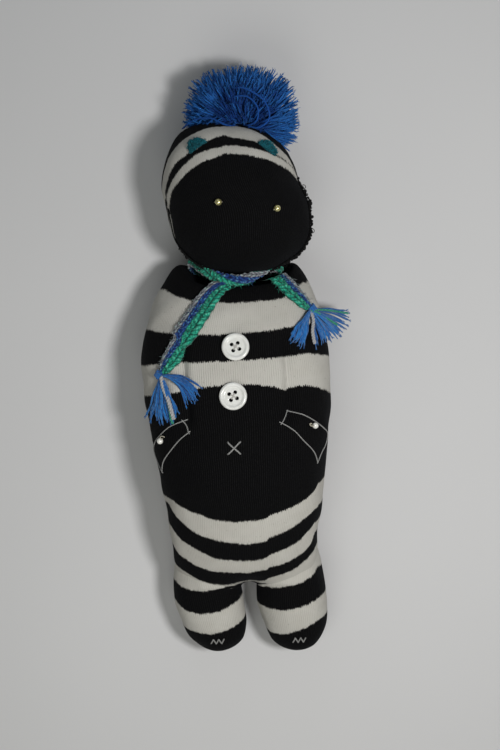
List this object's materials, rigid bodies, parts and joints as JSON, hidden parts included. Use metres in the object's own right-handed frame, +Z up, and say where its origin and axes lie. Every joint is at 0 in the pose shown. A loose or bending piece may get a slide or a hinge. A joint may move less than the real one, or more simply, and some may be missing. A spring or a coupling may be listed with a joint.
{
  "type": "plush zebra",
  "caption": "Stuffed sock zebra on its back: long striped body, black muzzle, yarn mane, quilted arms with stitched pockets, coat buttons and a knitted scarf with tassels",
  "frame": {"origin": "middle of the flat patch of the trunk's back, on the surface that the toy lies on", "axes": "+Y runs from the feet to the head, +Z up out of the belly, +X to the toy's own left"},
  "size_m": [0.1226, 0.3365, 0.0769],
  "materials": {
    "striped_knit": "matte",
    "stuffing": "matte",
    "teal_felt": "matte",
    "gold_bead": "gloss",
    "white_plastic": "gloss",
    "grey_thread": "matte",
    "white_thread": "matte",
    "blue_yarn": "matte",
    "scarf_knit": "matte"
  },
  "bodies": {
    "torso": {"trunk_cover": "striped_knit", "trunk_stuffing": "stuffing", "left_arm_stuffing": "stuffing", "right_arm_stuffing": "stuffing", "left_arm_quilting": "grey_thread", "right_arm_quilting": "grey_thread", "upper_button": "white_plastic", "upper_button_thread": "white_thread", "lower_button": "white_plastic", "lower_button_thread": "white_thread", "belly_cross_stitch": "grey_thread", "left_pocket_outline": "grey_thread", "right_pocket_outline": "grey_thread", "left_pocket_pearl": "white_plastic", "left_pocket_pearl_thread": "white_thread", "right_pocket_pearl": "white_plastic", "right_pocket_pearl_thread": "white_thread", "scarf_collar": "scarf_knit", "scarf_knot": "scarf_knit", "scarf_left_tail": "scarf_knit", "scarf_right_tail": "scarf_knit", "left_tassel_binding": "blue_yarn", "right_tassel_binding": "blue_yarn", "left_tassel": "blue_yarn", "right_tassel": "blue_yarn"},
    "neck": {"neck_gather": "striped_knit"},
    "head": {"head_cover": "striped_knit", "head_stuffing": "stuffing", "muzzle_seam": "striped_knit", "left_eye": "teal_felt", "right_eye": "teal_felt", "left_nostril": "gold_bead", "left_nostril_thread": "white_thread", "right_nostril": "gold_bead", "right_nostril_thread": "white_thread", "mane_tuft": "blue_yarn", "mane_tie": "blue_yarn"},
    "left_leg": {"left_leg_cover": "striped_knit", "left_leg_stuffing": "stuffing", "left_toe_stitch": "grey_thread"},
    "right_leg": {"right_leg_cover": "striped_knit", "right_leg_stuffing": "stuffing", "right_toe_stitch": "grey_thread"}
  },
  "joints": [
    {"name": "neck_turn", "type": "hinge", "parent": "torso", "child": "neck", "pos_m": [0.0034, 0.068, 0.036], "axis": [0, 1, 0], "range_deg": [-35, 35], "stiffness_Nm_per_rad": 0.03},
    {"name": "head_nod", "type": "hinge", "parent": "neck", "child": "head", "pos_m": [0.0034, 0.068, 0.036], "axis": [1, 0, 0], "range_deg": [-8, 8], "stiffness_Nm_per_rad": 0.1},
    {"name": "left_hip", "type": "hinge", "parent": "torso", "child": "left_leg", "pos_m": [-0.0236, -0.101, 0.021], "axis": [-1, 0, 0], "range_deg": [-10, 35], "stiffness_Nm_per_rad": 0.04},
    {"name": "right_hip", "type": "hinge", "parent": "torso", "child": "right_leg", "pos_m": [0.0238, -0.101, 0.021], "axis": [-1, 0, 0], "range_deg": [-10, 35], "stiffness_Nm_per_rad": 0.04}
  ]
}
